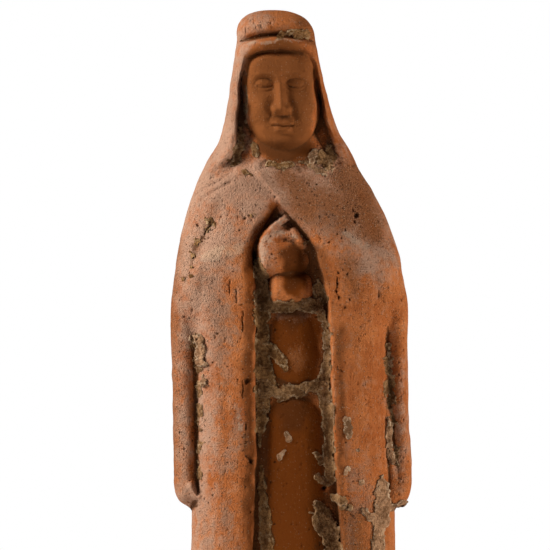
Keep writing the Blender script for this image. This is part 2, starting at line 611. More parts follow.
def knob(across, up, power):
    """Rounded block of unit half width and half height, 1 on top and 0 outside."""
    reach = np.clip(np.abs(across) ** power + np.abs(up) ** power, 0.0, 1.0)
    return (1.0 - reach) ** 0.5


def dress(across, height, front):
    """What shows between the cloak's edges: hands, belly, skirt and the tips of the shoes."""
    deep = RECESS + HANDS_RECESS * blend(143.9, 150.8, height) - 2.4 * blend(168.6, 179.3, height)
    floor_depth = front - deep - 0.012 * (across - SKIRT_MIDDLE) ** 2
    belly = BELLY_RISE * rounded(between(across, height, BELLY_LEFT, BELLY_RIGHT), 7.5)
    flare = SKIRT_HALF_WIDTH + 0.035 * (SKIRT_TOP - height)
    arch = SKIRT_TOP - height - 0.05 * (across - SKIRT_MIDDLE) ** 2
    sides = flare - np.abs(across - SKIRT_MIDDLE)
    skirt = SKIRT_RISE * rounded(soft_least(sides, arch, 3.0), 6.5)
    bank = BANK_RISE * blend(147, 155.9, height) * blend(5.0, -0.4, curve(CLOAK_RIGHT, height) - across)
    form = floor_depth + np.maximum(soft_most(hands(across, height), bank, 1.2), np.maximum(belly, skirt))
    shoes = knob((np.abs(across - SHOE_MIDDLE) - SHOE_SPACING) / SHOE_HALF_WIDTH, height / SHOE_HEIGHT, 2.4)
    under = blend(HEM_HEIGHT, HEM_HEIGHT - 1.5, height)
    return form * (1.0 - under) + (FOOT_DEPTH + (SHOE_REACH - FOOT_DEPTH) * shoes) * under


# Wear
# Centuries in the ground have pitted the clay. Single pits, short cracks and rough patches
# lie where the photographed piece has them, and the mould and the tools left it uneven.
PITS = [
    (-29.4, 173.1, 0.6, 1.1), (-16.3, 171.4, 0.35, 0.6), (-21.0, 172.4, 0.35, 0.5),
    (-22.0, 175.8, 0.41, 0.5), (-20.1, 176.2, 0.35, 0.5), (20.3, 176.2, 0.82, 1.8),
    (19.3, 177.7, 0.54, 0.8), (19.8, 174.3, 0.57, 0.9), (14.6, 158.1, 0.35, 0.8),
    (17.6, 157.8, 0.35, 0.7), (14.4, 154.9, 0.35, 0.8), (14.1, 152.4, 0.44, 0.9),
    (14.7, 150.5, 0.35, 0.8), (18.2, 149.9, 0.35, 0.7), (16.6, 147.4, 0.44, 0.8),
    (-35.9, 163.5, 0.41, 0.9), (10.0, 90.7, 0.73, 2.0), (-13.1, 99.2, 0.76, 1.8),
    (-14.1, 124.2, 0.89, 1.5), (-20.1, 98.7, 0.32, 0.6), (17.0, 105.1, 0.32, 0.5),
    (20.8, 123.3, 0.32, 0.5), (-31.1, 146.4, 0.51, 0.5), (-23.2, 139.1, 0.57, 0.6),
    (-23.9, 137.9, 0.38, 0.5), (-14.4, 175.2, 0.51, 0.5), (-13.1, 176.2, 0.44, 0.5),
    (-12.5, 174.6, 0.41, 0.4), (11.0, 176.5, 0.38, 0.5), (-6.3, 164.1, 0.32, 0.6),
    (-6.8, 163.2, 0.28, 0.6), (22.0, 197.0, 0.38, 0.4), (19.2, 192.3, 0.47, 0.8), (-0.4, 142.9, 0.25, 0.3)
]
CRACKS = [
    [(-18.8, 212.2), (-19.0, 209.4)], [(-19.4, 155.6), (-19.3, 151.8)], [(-17.2, 153.0), (-17.2, 148.9)],
    [(-24.8, 173.9), (-26.7, 171.4), (-28.0, 169.2)], [(14.4, 156.5), (14.1, 153.0), (14.7, 149.9)],
    [(-15.3, 145.8), (-15.0, 140.1)], [(-15.6, 124.2), (-15.3, 119.2)], [(-12.2, 98.3), (-11.2, 94.5)],
    [(-14.4, 101.1), (-12.5, 98.0)]
]
ROUGH_PATCHES = [
    [(-27.0, 174.6, 0.95), (-24.8, 173.3, 1.42), (-22.3, 172.4, 1.11)],
    [(-24.8, 173.6, 0.79), (-28.0, 169.2, 0.79)], [(-27.7, 169.2, 0.95), (-30.5, 167.3, 1.27)],
    [(-29.9, 165.7, 1.27), (-31.1, 163.2, 1.42)], [(-30.2, 161.3, 1.11)],
    [(-28.6, 158.1, 1.11), (-32.1, 157.2, 1.9), (-34.0, 155.9, 0.95)],
    [(-23.5, 163.5, 1.27), (-22.3, 159.7, 0.95)], [(14.4, 157.2, 0.63), (14.4, 149.9, 0.79)],
    [(17.0, 148.6, 1.27)], [(12.2, 191.3, 2.53), (17.3, 192.9, 1.58)],
    [(-14.4, 175.5, 1.27), (-12.2, 175.2, 0.95)], [(20.1, 175.8, 1.58)], [(-14.1, 124.2, 1.58)],
    [(-13.1, 99.2, 1.58)]
]
CRACK_DEPTH = 0.55
CRACK_HALF_WIDTH = 0.26
LATTICE = 32


def grain(places, size, seed):
    """Soft random swelling from -1 to 1, in lumps of about that size, the same on every run."""
    lattice = np.random.default_rng(seed).uniform(-1.0, 1.0, (LATTICE,) * 3)
    scaled = places / size
    corner = np.floor(scaled).astype(np.int64)
    part = scaled - corner
    part = part * part * (3.0 - 2.0 * part)
    total = np.zeros(places.shape[:-1])
    for step in np.ndindex(2, 2, 2):
        index = (corner + step) % LATTICE
        weight = np.prod(np.where(np.array(step) == 1, part, 1.0 - part), axis=-1)
        total += weight * lattice[index[..., 0], index[..., 1], index[..., 2]]
    return total


def grains(places, *layers):
    """Sum of random swellings, each given by its height, the size of its lumps and its seed."""
    return sum(rise * grain(places, size, seed) for rise, size, seed in layers)


def cover(across, height, strokes):
    """How far each place lies inside a patch drawn with strokes of (across, height, half width)."""
    inside = np.full(np.broadcast(across, height).shape, -FAR_AWAY)
    for stroke in strokes:
        for start, end in zip(stroke, stroke[1:] or stroke):
            share, gap = beside_line(across, height, start, end)
            inside = np.maximum(inside, start[2] + (end[2] - start[2]) * share - gap)
    return inside


def flat_places(across, height, layer):
    """Places on the front for the random grain, with a layer number that sets patterns apart."""
    return np.stack(np.broadcast_arrays(across, height, float(layer)), axis=-1)


def wear(across, height):
    """Pits, cracks and rough patches of the front, as a change of depth."""
    near = flat_places(across, height, 0.5)
    across = across + 0.35 * grain(near, 1.1, 21)
    height = height + 0.35 * grain(near, 1.1, 22)
    relief = np.zeros(np.broadcast(across, height).shape)
    for pit_x, pit_h, radius, deep in PITS:
        relief -= deep * np.exp(-(((across - pit_x) ** 2 + (height - pit_h) ** 2) / radius ** 2) ** 1.3 * 1.2)
    for crack in CRACKS:
        relief -= CRACK_DEPTH * bump(away_from(across, height, crack), CRACK_HALF_WIDTH)
    rough = blend(-1.2, 1.6, cover(across, height, ROUGH_PATCHES))
    knots = grains(near, (0.6, 1.5, 23), (0.6, 0.8, 24))
    relief += rough * (0.34 * knots - 0.22 * blend(0.15, 0.7, -knots))
    return relief


def small_pits(across, height):
    """Pinholes all over the cloth, where grit fell out of the clay."""
    near = flat_places(across, height, 0.5)
    return -0.5 * blend(0.60, 0.9, grain(near, 1.3, 61)) - 0.35 * blend(0.60, 0.9, grain(near, 0.8, 62))


def front_depth(across, height):
    """Depth of the carved front before the middle plane."""
    plain, facing = plain_depth(across, height, FRONT_DEPTH, SLEEVE_FRONT)
    near = flat_places(across, height, 0.5)
    x = across + 0.30 * grain(near, 5.3, 11) + 0.10 * grain(near, 1.7, 12)
    h = height + 0.35 * grain(near, 5.9, 13) + 0.10 * grain(near, 1.8, 14)
    on_head = blend(COLLAR_HEIGHT - 7.0, COLLAR_HEIGHT - 1.0, height)
    on_body = blend(COLLAR_HEIGHT + 4.5, COLLAR_HEIGHT, height)
    carving = hood_relief(x, h) * on_head + cloak_relief(x, h) * on_body
    uneven = grains(near, (0.35, 13.0, 15), (0.16, 5.5, 16), (0.07, 2.4, 17))
    cloth = plain + blend(0.05, 0.45, facing) * (carving + uneven)
    inside_cloak = blend(-0.5, 0.6, cloak_opening(x, h))
    gown = dress(x, h, curve(FRONT_DEPTH, height)) + 0.35 * uneven
    tucked = blend(3.2, 0.2, curve(CLOAK_RIGHT, h) - x) * blend(159.1, 167.3, h)
    gown = gown + (cloth - 0.8 - gown) * tucked
    front = cloth + (gown - cloth) * inside_cloak
    sides = soft_least(x - curve(OPENING_LEFT, h), curve(OPENING_RIGHT, h) - x, 1.0)
    inside_hood = blend(-0.6, 0.7, np.where(h > COLLAR_HEIGHT + 6.0, face_opening(x, h), sides))
    above_collar = h + 0.12 * np.abs(x - FACE_MIDDLE)
    inside_hood = inside_hood * blend(COLLAR_HEIGHT - 3.5, COLLAR_HEIGHT + 3.0, above_collar)
    front = front + (head(across, height) + 0.25 * uneven - front) * inside_hood
    front -= 2.4 * bump(face_opening(x, h) - 1.0, 1.2) * blend(204.0, 216.0, h) * blend(-17.0, -11.0, x)
    worn = wear(across, height) + (1.0 - inside_hood) * small_pits(across, height)
    return front + blend(0.02, 0.4, facing) * worn


# Back
# The back is plainer, as it was never meant to be seen: the hood's hem crosses the shoulders
# and a few wide folds hang from it.
BACK_HEM_HEIGHT = 186.5


def back_depth(across, height):
    """Depth of the plainer back behind the middle plane."""
    plain, facing = plain_depth(across, height, BACK_DEPTH, SLEEVE_BACK)
    near = flat_places(across, height, 9.5)
    x = across + 0.5 * grain(near, 7.0, 31)
    h = height + 0.5 * grain(near, 7.0, 32)
    hem = h - BACK_HEM_HEIGHT - 0.006 * x ** 2
    relief = 0.9 * blend(-0.6, 0.6, hem) * blend(12.0, 4.0, hem)
    falling = blend(BACK_HEM_HEIGHT - 10.0, BACK_HEM_HEIGHT - 36.0, h) * blend(10.0, 20.0, h)
    relief += 0.7 * falling * np.cos(x * 0.36 + 0.006 * (h - 90.0))
    beyond = np.abs(x) - BACK_FOLD + 2.0
    relief += sleeve_fold(beyond, h, depth=4.0, lower_end=SLEEVE_END + 6.0, start=-0.6, middle=4.9)
    relief += grains(near, (0.4, 11.0, 33), (0.2, 4.5, 34))
    return plain + blend(0.05, 0.45, facing) * relief


# Skin and base
# The figure stands on a low slab that was pressed with it, so one closed skin of clay runs
# from the crown down over the hem, out across the slab, round its worn edge and underneath.
BASE_WIDTH = 78.0
BASE_DEPTH = 54.0
BASE_EDGE = 1.6
BASE_SQUARENESS = 16.0
FRONT_COLUMNS = 350
BACK_COLUMNS = 120
SECTION_STEPS = 6001
SECTION_ROUNDNESS = 2.7
SECTION_FLATNESS = 0.5
CROWN_ROWS = 46
SLAB_ROWS = 14
EDGE_ROWS = 7
SIDE_ROWS = 16
UNDERSIDE_INSETS = (0.15, 0.6, 4.0, 12.0)
FOOT_FILLET = 1.1
WIDE_REACH = 7
FINE_REACH = 2
HEAD_SPACING = 0.22
BODY_SPACING = 0.29
SHIN_SPACING = 0.6
SHIN_HEIGHT = 66.0
TOP_GAP = 0.01
UNDERSIDE_GAP = 0.002
TRIANGLES = 190000


def even_section(count, power, flatness):
    """Half of a rounded section from left to right, in even steps: places across and out."""
    turn = np.linspace(0.0, np.pi, SECTION_STEPS)
    x = -np.sign(np.cos(turn)) * np.abs(np.cos(turn)) ** (2.0 / power)
    y = np.sin(turn) ** (2.0 / power)
    steps = np.hypot(np.diff(x), flatness * np.diff(y))
    run = np.concatenate([[0.0], np.cumsum(steps)])
    wanted = np.linspace(0.0, run[-1], count, endpoint=False)
    return np.interp(wanted, run, x), np.interp(wanted, run, y)


def soften(values, reach, sides="wrap"):
    """Local average over a grid by running sums, wrapped round its columns or not."""
    for axis, mode in ((0, "edge"), (1, sides), (0, "edge"), (1, sides)):
        pads = [(0, 0)] * values.ndim
        pads[axis] = (reach + 1, reach)
        sums = np.cumsum(np.pad(values, pads, mode=mode), axis=axis)
        after = np.take(sums, np.arange(2 * reach + 1, sums.shape[axis]), axis=axis)
        before = np.take(sums, np.arange(sums.shape[axis] - 2 * reach - 1), axis=axis)
        values = (after - before) / (2 * reach + 1)
    return values


def ring_heights():
    """Heights of the rings, close together at the head and wider apart toward the hem."""
    dome = np.sin(np.linspace(0.0, np.pi / 2.0, CROWN_ROWS, endpoint=False)) ** (2.0 / CROWN_ROUNDNESS)
    crown = CROWN_BASE + (HEIGHT_SHARES - CROWN_BASE) * dome[::-1]
    head_rows = np.arange(CROWN_BASE - HEAD_SPACING, COLLAR_HEIGHT, -HEAD_SPACING)
    body_rows = np.arange(COLLAR_HEIGHT, SHIN_HEIGHT, -BODY_SPACING)
    shin_rows = np.linspace(SHIN_HEIGHT, 0.0, int(SHIN_HEIGHT / SHIN_SPACING))
    return np.concatenate([crown, head_rows, body_rows, shin_rows])


def figure_rows():
    """Points of the figure's rings and, for the front half, their places across and up."""
    heights = ring_heights()[:, None]
    middle, half = body_span(heights)
    half = half + curve(SLEEVE_STANDOUT, heights)
    front_across = middle + half * even_section(FRONT_COLUMNS, SECTION_ROUNDNESS, SECTION_FLATNESS)[0]
    back_across = middle - half * even_section(BACK_COLUMNS, SECTION_ROUNDNESS, SECTION_FLATNESS)[0]
    up = np.broadcast_to(heights, front_across.shape)
    front = np.stack([front_across, -front_depth(front_across, up), up], axis=-1)
    up = np.broadcast_to(heights, back_across.shape)
    back = np.stack([back_across, back_depth(back_across, up), up], axis=-1)
    return np.concatenate([front, back], axis=1)


def base_rows(foot):
    """Rings from the foot out over the slab, round its edge and in under it."""
    flatness = BASE_DEPTH / BASE_WIDTH
    front_x, front_y = even_section(FRONT_COLUMNS, BASE_SQUARENESS, flatness)
    back_x, back_y = even_section(BACK_COLUMNS, BASE_SQUARENESS, flatness)
    edge = np.concatenate([np.stack([front_x, -front_y], axis=-1), np.stack([-back_x, back_y], axis=-1)])
    half = np.array([BASE_WIDTH, BASE_DEPTH]) / 2.0
    thick = BASE_HEIGHT / SHARE
    rows = []
    for share in np.linspace(0.0, 1.0, SLAB_ROWS)[1:-1]:
        flat = foot[:, :2] + (edge * (half - BASE_EDGE) - foot[:, :2]) * share
        fillet = FOOT_FILLET * (1.0 - share) ** 6
        rows.append(np.column_stack([flat, np.full(len(flat), fillet)]))
    for turn in np.linspace(0.0, np.pi / 2.0, EDGE_ROWS):
        reach = half - BASE_EDGE * (1.0 - np.sin(turn))
        rows.append(np.column_stack([edge * reach, np.full(len(edge), -BASE_EDGE * (1.0 - np.cos(turn)))]))
    for down in np.linspace(-BASE_EDGE, 0.6 - thick, SIDE_ROWS)[1:]:
        rows.append(np.column_stack([edge * half, np.full(len(edge), down)]))
    for inset in UNDERSIDE_INSETS:
        rows.append(np.column_stack([edge * (half - inset), np.full(len(edge), -thick)]))
    return np.stack(rows)


def outward(grid):
    """Directions straight out of the skin at each point of its rings."""
    down = np.gradient(grid, axis=0)
    along = np.roll(grid, -1, axis=1) - np.roll(grid, 1, axis=1)
    out = np.cross(down, along)
    return out / np.maximum(np.linalg.norm(out, axis=-1, keepdims=True), 1e-9)


def mesh_from(name, corners, quads, triangles=()):
    """A mesh of the object from its corners, in shares, and its faces."""
    corners = np.asarray(corners) * SHARE
    corners[:, 2] += BASE_HEIGHT
    mesh = bpy.data.meshes.new(name)
    counts = np.array([4] * len(quads) + [3] * len(triangles))
    loops = np.concatenate([np.ravel(quads), np.ravel(triangles)]).astype(np.int32)
    mesh.vertices.add(len(corners))
    mesh.vertices.foreach_set("co", corners.ravel())
    mesh.loops.add(len(loops))
    mesh.loops.foreach_set("vertex_index", loops)
    mesh.polygons.add(len(counts))
    mesh.polygons.foreach_set("loop_start", np.concatenate([[0], np.cumsum(counts)[:-1]]).astype(np.int32))
    mesh.update(calc_edges=True)
    mesh.validate()
    mesh.shade_smooth()
    return mesh


def note(mesh, name, values):
    """Keeps a number for each point of the mesh, which its finish reads by that name."""
    mesh.attributes.new(name, "FLOAT", "POINT").data.foreach_set("value", np.ravel(values).astype(np.float32))


def stand(name, mesh):
    """Stands a mesh in the scene as a piece of its own."""
    piece = bpy.data.objects.new(name, mesh)
    bpy.context.collection.objects.link(piece)
    return piece


# Where dust, soil and wear have changed the clay's colour, in strokes of (across, height, half width).
BACK_DUST = 0.45
HAZE = [
    [(-9.3, 185.0, 5.06), (-16.9, 185.6, 4.43)], [(-9.3, 179.6, 3.17), (-14.4, 171.1, 3.8)],
    [(-18.8, 166.0, 4.43), (-24.2, 162.9, 2.85)],
    [(-24.5, 153.4, 3.48), (-21.3, 143.2, 4.43), (-22.0, 133.1, 3.8)],
    [(-16.3, 114.1, 2.22), (-17.5, 105.3, 3.17), (-20.1, 98.3, 3.17)],
    [(9.7, 176.5, 2.22), (16.0, 170.5, 3.48), (19.2, 165.4, 2.53)],
    [(19.2, 86.3, 1.58), (18.5, 71.1, 1.58)], [(9.7, 119.5, 1.9)],
    [(20.8, 94.5, 4.11), (22.0, 86.3, 4.43)], [(23.6, 109.1, 1.27)], [(-9.0, 165.4, 0.95)],
    [(-18.8, 182.5, 4.43)], [(8.4, 174.3, 1.9), (12.2, 169.2, 2.22)],
    [(-21.0, 84.7, 2.85), (-20.1, 79.9, 2.22)], [(-3.0, 145.8, 2.53), (4.3, 145.1, 1.9)],
    [(-36.5, 169.2, 1.58), (-37.8, 149.6, 1.58)], [(-28.0, 84.7, 1.9), (-27.0, 72.0, 2.22)]
]
DUST = [
    [(-12.5, 238.8, 2.22), (-16.3, 231.9, 3.8), (-19.4, 223.0, 8.23), (-23.2, 206.5, 11.39),
     (-25.8, 181.2, 14.56), (-28.9, 159.1, 9.5), (-29.6, 143.2, 6.96), (-30.2, 111.6, 6.96),
     (-28.9, 67.3, 5.7), (-27.7, 23.0, 4.43)],
    [(-9.3, 164.8, 2.53), (-8.0, 169.8, 1.9)], [(-27.3, 181.2, 14.24), (2.7, 184.4, 11.39)],
    [(12.2, 187.5, 9.5), (25.5, 165.4, 8.23)], [(35.0, 127.4, -0.63), (35.6, 95.8, -0.32)]
]
PALE = [
    [(23.6, 166.7, 1.58), (19.2, 169.2, 1.58), (16.6, 171.1, 0.95)],
    [(-9.3, 161.6, 1.27), (-9.0, 165.4, 1.9), (-7.7, 168.6, 1.9), (-5.8, 170.5, 1.58),
     (-2.3, 170.5, 0.79), (0.8, 169.8, 0.79), (3.4, 168.2, 0.79)],
    [(-27.0, 162.9, 2.22), (-22.0, 164.8, 2.22)], [(-16.6, 114.1, 0.95), (-16.3, 108.4, 0.95)],
    [(-6.8, 172.0, 0.63), (-3.9, 173.9, 0.79), (-0.4, 176.2, 0.79)],
    [(-16.3, 230.0, 0.63), (-11.2, 230.7, 0.76), (-2.0, 231.1, 0.76), (4.0, 230.4, 0.63)],
    [(-14.5, 214.1, 0.47), (-14.1, 205.3, 0.47)]
]
RUBBED = [
    [(-27.3, 163.5, 1.58), (-22.0, 164.8, 2.22), (-16.3, 166.0, 1.58)],
    [(-16.0, 230.3, 0.47), (-10.6, 231.1, 0.57), (-2.0, 231.4, 0.57), (4.0, 230.7, 0.47)],
    [(12.7, 143.9, 0.38), (13.5, 111.6, 0.38)]
]
FILM = [
    [(-1.1, 188.2, 3.8), (5.3, 179.6, 6.33), (15.4, 177.4, 7.6)],
    [(18.5, 187.5, 6.33), (25.5, 171.1, 4.43)], [(8.4, 230.6, 1.27), (4.3, 235.7, 1.9)],
    [(17.9, 161.6, 2.53), (20.4, 152.7, 1.9)],
    [(19.2, 81.5, 3.8), (19.2, 68.9, 5.06), (18.5, 10.3, 4.43)],
    [(-36.5, 168.6, 1.27), (-37.8, 149.6, 1.58), (-37.8, 92.6, 1.58)], [(1.5, 130.6, 2.53)],
    [(-22.0, 149.6, 0.32), (-21.3, 111.6, 0.0), (-20.7, 67.3, -0.32)],
    [(-17.5, 223.6, -0.95), (-18.8, 206.5, -0.95)]
]
DAMP = [
    [(0.2, 116.0, 5.06), (0.2, 111.6, 3.8)], [(0.8, 145.1, 4.11), (0.8, 142.6, 2.85)],
    [(-9.3, 197.0, 2.53), (-2.0, 196.4, 3.8), (5.3, 197.0, 2.53)],
    [(-0.4, 163.8, 3.8), (0.5, 161.0, 3.8)], [(0.5, 155.3, 2.53)],
    [(-13.4, 149.6, 1.58), (-13.1, 67.3, 1.58)],
    [(-5.8, 179.3, 0.63), (-9.3, 173.6, 0.63), (-12.2, 167.9, 0.63), (-13.1, 159.1, 0.95)],
    [(15.4, 140.1, 1.27), (15.1, 67.3, 1.27)], [(-16.3, 213.5, 0.95), (-15.6, 201.8, 1.27)],
    [(0.2, 174.3, 0.95), (4.6, 169.2, 1.27), (8.4, 164.1, 1.58), (11.0, 155.9, 1.27)],
    [(-9.3, 233.1, 0.79), (-2.0, 233.8, 0.95), (2.7, 233.8, 0.95)]
]
CLEAN = [
    [(-9.3, 201.5, 1.9), (-6.1, 197.7, 4.11), (2.1, 197.7, 4.11), (4.6, 201.5, 1.9)],
    [(0.2, 163.5, 2.85), (0.8, 154.6, 4.11)], [(-31.1, 133.7, 0.32), (-30.8, 92.6, 0.32)],
    [(0.8, 140.1, 8.23), (0.8, 129.0, 8.23)],
    [(0.8, 111.6, 8.86), (1.5, 67.3, 10.13), (1.5, -5.5, 10.76)],
    [(-12.5, 149.6, 0.63), (-12.8, 67.3, 0.63)],
    [(-5.8, 178.4, 0.95), (-9.3, 174.3, 1.27), (-11.8, 168.6, 1.27), (-12.8, 160.6, 1.27),
     (-12.8, 149.6, 0.95)]
]
FACE_STAIN = [[(-3.3, 221.1, 10.76), (-3.0, 203.4, 9.81)]]
SOIL = [
    [(-15.3, 224.9, 0.95), (-16.0, 212.9, 1.27), (-16.0, 200.2, 1.9), (-17.5, 194.5, 1.58)],
    [(8.4, 219.2, 0.95), (9.7, 206.5, 1.9), (11.0, 197.0, 2.85)],
    [(-9.3, 192.9, 1.9), (-0.4, 192.3, 1.9), (6.5, 192.0, 3.17)],
    [(-30.2, 136.9, 1.27), (-29.9, 93.9, 1.11)],
    [(31.2, 135.3, 0.32), (32.2, 117.9, 0.0), (32.8, 105.3, 0.0), (34.1, 94.2, 0.16)],
    [(-10.9, 165.4, 1.9), (-10.3, 157.5, 2.53), (-9.0, 149.6, 3.17)],
    [(2.7, 171.1, 1.58), (8.1, 161.6, 2.53), (9.4, 149.6, 2.85)],
    [(-8.7, 149.6, 2.85), (-8.7, 108.4, 2.85)], [(-4.9, 177.4, 0.63), (-8.4, 173.0, 0.95)],
    [(0.8, 118.5, 2.22), (0.8, 116.7, 1.27)], [(0.2, 145.1, 2.22), (-0.4, 142.6, 0.95)],
    [(11.3, 149.6, 2.22), (11.3, 86.3, 2.22)],
    [(-6.8, 121.7, 3.8), (2.7, 121.1, 3.17), (9.7, 121.7, 3.17)],
    [(-8.7, 105.3, 2.85), (-8.0, 67.3, 3.17), (-8.7, 23.0, 2.22)],
    [(-27.0, 173.6, 1.58), (-28.9, 168.6, 1.27), (-31.5, 161.6, 1.27), (-32.7, 156.5, 1.27)],
    [(-13.1, 99.2, 1.58)], [(-14.1, 124.2, 1.58)], [(7.8, 86.3, 2.53), (11.0, 72.0, 4.43)],
    [(-1.1, 172.7, 0.95)], [(-14.1, 143.2, 0.63), (-14.7, 86.3, 0.79)]
]

skin = figure_rows()
skin = np.concatenate([skin, base_rows(skin[-1])])
out = outward(skin)
grit = grains(skin, (0.03, 1.3, 41), (0.02, 0.7, 42), (0.16, 3.4, 43))
level = skin[..., 2]
smooth = blend(-2.5, 2.5, cover(skin[..., 0], level, CLEAN)) * (skin[..., 1] < 0.0)
grit = grit * (1.0 - 0.75 * smooth)
underside = -BASE_HEIGHT / SHARE
quiet = blend(HEIGHT_SHARES, HEIGHT_SHARES - 3.0, level) * blend(underside, underside + 0.6, level)
chips = -0.9 * blend(0.35, 0.8, grain(skin, 4.2, 44)) * blend(1.0, -2.0, level)
skin = skin + out * (quiet * (grit + chips))[..., None]
top = HEIGHT_SHARES - TOP_GAP
box_low = [-BASE_WIDTH / 2.0, -BASE_DEPTH / 2.0, underside + UNDERSIDE_GAP]
box_high = [BASE_WIDTH / 2.0, BASE_DEPTH / 2.0, top]
skin = np.clip(skin, box_low, box_high)

rows, columns = skin.shape[:2]
seen = blend(0.75, 0.05, out[..., 1])
wide = np.sum((soften(skin, WIDE_REACH) - skin) * out, axis=-1) * (0.35 + 0.65 * seen)
fine = np.sum((soften(skin, FINE_REACH) - skin) * out, axis=-1) * (0.5 + 0.5 * seen)
painted_x, painted_h = skin[..., 0], skin[..., 2]
wander = flat_places(painted_x, painted_h, 3.5)
painted_x = painted_x + 0.9 * grain(wander, 3.0, 45)
painted_h = painted_h + 0.9 * grain(wander, 3.0, 46)
marks = {"hollow": wide, "fine_hollow": fine}
painted = (("haze", HAZE, 2.6), ("pale", PALE, 1.4), ("rubbed", RUBBED, 1.4), ("soil", SOIL, 1.6),
           ("film", FILM, 4.5), ("clean", CLEAN, 2.0), ("face_stain", FACE_STAIN, 2.0), ("damp", DAMP, 2.4))
for name, strokes, softness in painted:
    marks[name] = blend(-softness, softness, cover(painted_x, painted_h, strokes)) * seen
dusty = blend(-11.0, 9.0, cover(painted_x, painted_h, DUST))
marks["dust"] = BACK_DUST + (dusty - BACK_DUST) * seen
steps = np.linalg.norm(np.roll(skin, -1, axis=1) - skin, axis=-1)
round_share = (np.cumsum(steps, axis=1) - steps) / np.maximum(steps.sum(axis=1, keepdims=True), 1e-9)
round_share = round_share - round_share[:, FRONT_COLUMNS + BACK_COLUMNS // 2][:, None]
marks["round_x"] = np.cos(2.0 * np.pi * round_share)
marks["round_y"] = np.sin(2.0 * np.pi * round_share)
drop = np.linalg.norm(np.diff(skin, axis=0, prepend=skin[:1]), axis=-1).mean(axis=1)
marks["down"] = np.broadcast_to((np.cumsum(drop) / drop.sum())[:, None], (rows, columns))

grid_index = np.arange(rows * columns).reshape(rows, columns)
beside = np.roll(grid_index, -1, axis=1)
quads = np.stack([grid_index[:-1], grid_index[1:], beside[1:], beside[:-1]], axis=-1).reshape(-1, 4)
ends = np.array([skin[0].mean(axis=0), skin[-1].mean(axis=0)])
ends[0, 2] = top
tops = np.stack([np.full(columns, rows * columns), grid_index[0], beside[0]], axis=-1)
bottoms = np.stack([np.full(columns, rows * columns + 1), beside[-1], grid_index[-1]], axis=-1)
figure_mesh = mesh_from("attendant", np.concatenate([skin.reshape(-1, 3), ends]), quads,
                        np.concatenate([tops, bottoms]))
for name, values in marks.items():
    note(figure_mesh, name, np.append(np.ravel(values), [np.mean(values[0]), np.mean(values[-1])]))
figure = stand("attendant", figure_mesh)


def thin_out(piece, triangles):
    """Keeps the skin's form with fewer faces, most of them where it bends."""
    fewer = piece.modifiers.new("fewer", "DECIMATE")
    fewer.ratio = triangles / (2.0 * len(piece.data.polygons))
    fewer.use_collapse_triangulate = True
    state = bpy.context.evaluated_depsgraph_get()
    thinned = piece.evaluated_get(state)
    lighter = bpy.data.meshes.new_from_object(thinned, preserve_all_data_layers=True, depsgraph=state)
    piece.modifiers.clear()
    piece.data = lighter
    lighter.shade_smooth()
    return lighter


def corner_points(mesh):
    """The number of the point under each corner of each face."""
    corner = np.empty(len(mesh.loops), dtype=np.int32)
    mesh.loops.foreach_get("vertex_index", corner)
    return corner


def lay_flat(mesh, layout):
    """Keeps the flat layout that the finish is baked on."""
    mesh.uv_layers.new(name="OFBake").data.foreach_set("uv", layout.astype(np.float32).ravel())


def unroll(mesh):
    """Flat layout of the skin, cut down the middle of the back."""
    places = {}
    for name in ("round_x", "round_y", "down"):
        values = np.empty(len(mesh.vertices), dtype=np.float32)
        mesh.attributes[name].data.foreach_get("value", values)
        places[name] = values
    corner = corner_points(mesh)
    starts = np.empty(len(mesh.polygons), dtype=np.int32)
    mesh.polygons.foreach_get("loop_start", starts)
    turn = (np.arctan2(places["round_y"], places["round_x"]) / (2.0 * np.pi)) % 1.0
    first = np.repeat(corner[starts], np.diff(np.append(starts, len(corner))))
    turn_here = turn[corner] + np.round(turn[first] - turn[corner])
    lay_flat(mesh, np.column_stack([0.03 + 0.94 * turn_here, 0.01 + 0.98 * (1.0 - places["down"][corner])]))
    for name in places:
        mesh.attributes.remove(mesh.attributes[name])


figure_mesh = thin_out(figure, TRIANGLES)
unroll(figure_mesh)

# Fired clay
# Low-fired red clay is matt and a little porous. It is paler and pinker where a film of dust
# and lime clings, deep orange where it is clean, and brown where soil has settled in the
# hollows, with dark and pale grit all through.
CLAY = (0.47, 0.150, 0.044, 1.0)
CLAY_DEEP = (0.34, 0.088, 0.020, 1.0)
CLAY_PEACH = (0.56, 0.215, 0.080, 1.0)
DUST_COLOUR = (0.44, 0.262, 0.178, 1.0)
HAZE_COLOUR = (0.33, 0.175, 0.108, 1.0)
PALE_COLOUR = (0.46, 0.33, 0.235, 1.0)
RUBBED_COLOUR = (0.60, 0.36, 0.22, 1.0)
FILM_COLOUR = (0.268, 0.091, 0.028, 1.0)
CLEAN_COLOUR = (0.14, 0.033, 0.0025, 1.0)
FACE_COLOUR = (0.190, 0.060, 0.015, 1.0)
DAMP_COLOUR = (0.065, 0.018, 0.003, 1.0)
SOIL_COLOUR = (0.090, 0.032, 0.010, 1.0)
GRIT_DARK = (0.09, 0.034, 0.014, 1.0)
GRIT_PALE = (0.52, 0.33, 0.20, 1.0)
CLAY_ROUGHNESS = 0.78
CLAY_RELIEF = 0.0013
SHEEN = 0.06


